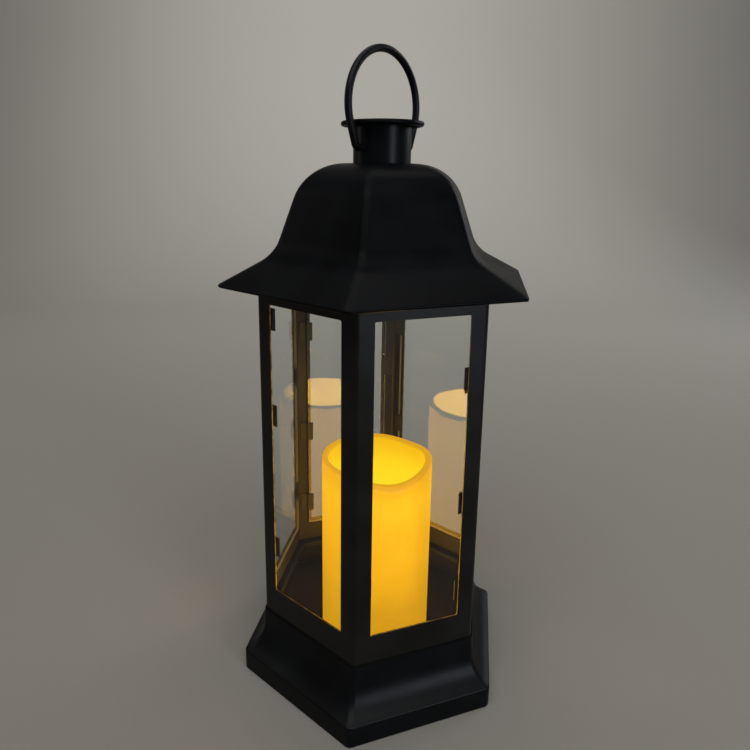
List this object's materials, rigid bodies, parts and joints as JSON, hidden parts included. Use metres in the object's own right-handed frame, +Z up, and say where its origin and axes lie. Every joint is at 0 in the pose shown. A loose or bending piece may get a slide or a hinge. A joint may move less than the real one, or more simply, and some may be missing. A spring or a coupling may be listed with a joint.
{
  "type": "candle lantern",
  "caption": "Hexagonal metal and glass lantern with a bell roof and a ring bail, holding an electric pillar candle with a twist-off battery cover and a slide switch.",
  "frame": {"origin": "on the ground under the centre of the lantern", "axes": "+Z up along the lantern's axis, +X out through the middle of a side face, -Y out through the corner that faces the viewer"},
  "size_m": [0.1804, 0.2072, 0.4117],
  "materials": {
    "black_paint": "satin black paint",
    "black_wire": "satin black paint",
    "clip_paint": "dull black paint",
    "clear_glass": "polished, clear",
    "candle_wax": "satin, translucent, like wax",
    "candle_cup": "satin, translucent, like wax",
    "post_plastic": "matte",
    "lamp_lens": "clear, glossy",
    "lead_insulation": "satin",
    "screw_steel": "zinc plated",
    "foot_plastic": "fine grain",
    "cell_jacket": "gloss jacket",
    "contact_nickel": "nickel plated",
    "switch_steel": "tin plated",
    "knob_plastic": "matte",
    "board_laminate": "green lacquer"
  },
  "bodies": {
    "lantern": {"base_shell": "black_paint", "battery_1": "cell_jacket", "battery_2": "cell_jacket", "battery_contacts": "contact_nickel", "battery_housing": "foot_plastic", "candle_screws": "screw_steel", "candle_shell": "candle_wax", "candle_well": "candle_cup", "circuit_board": "board_laminate", "flame_lamp": "lamp_lens", "floor_plate": "black_paint", "lamp_leads": "lead_insulation", "lamp_post": "post_plastic", "neck_cap": "black_paint", "neck_tube": "black_paint", "pane_1": "clear_glass", "pane_2": "clear_glass", "pane_3": "clear_glass", "pane_4": "clear_glass", "pane_5": "clear_glass", "pane_6": "clear_glass", "pane_clips": "clip_paint", "roof_shell": "black_paint", "switch_can": "switch_steel", "window_body": "black_paint"},
    "bail": {"bail": "black_wire"},
    "battery_cover": {"battery_cover": "foot_plastic"},
    "switch_knob": {"switch_knob": "knob_plastic"}
  },
  "joints": [
    {"name": "bail_swing", "type": "hinge", "parent": "lantern", "child": "bail", "pos_m": [0, 0, 0.351], "axis": [0.5, 0.866, 0], "range_deg": [-110, 110]},
    {"name": "battery_cover_twist", "type": "hinge", "parent": "lantern", "child": "battery_cover", "pos_m": [0, 0.0034, 0.0134], "axis": [0, 0, -1], "range_deg": [0, 30]},
    {"name": "switch_slide", "type": "slide", "parent": "lantern", "child": "switch_knob", "axis": [1, 0, 0], "range_m": [-0.004, 0]}
  ]
}
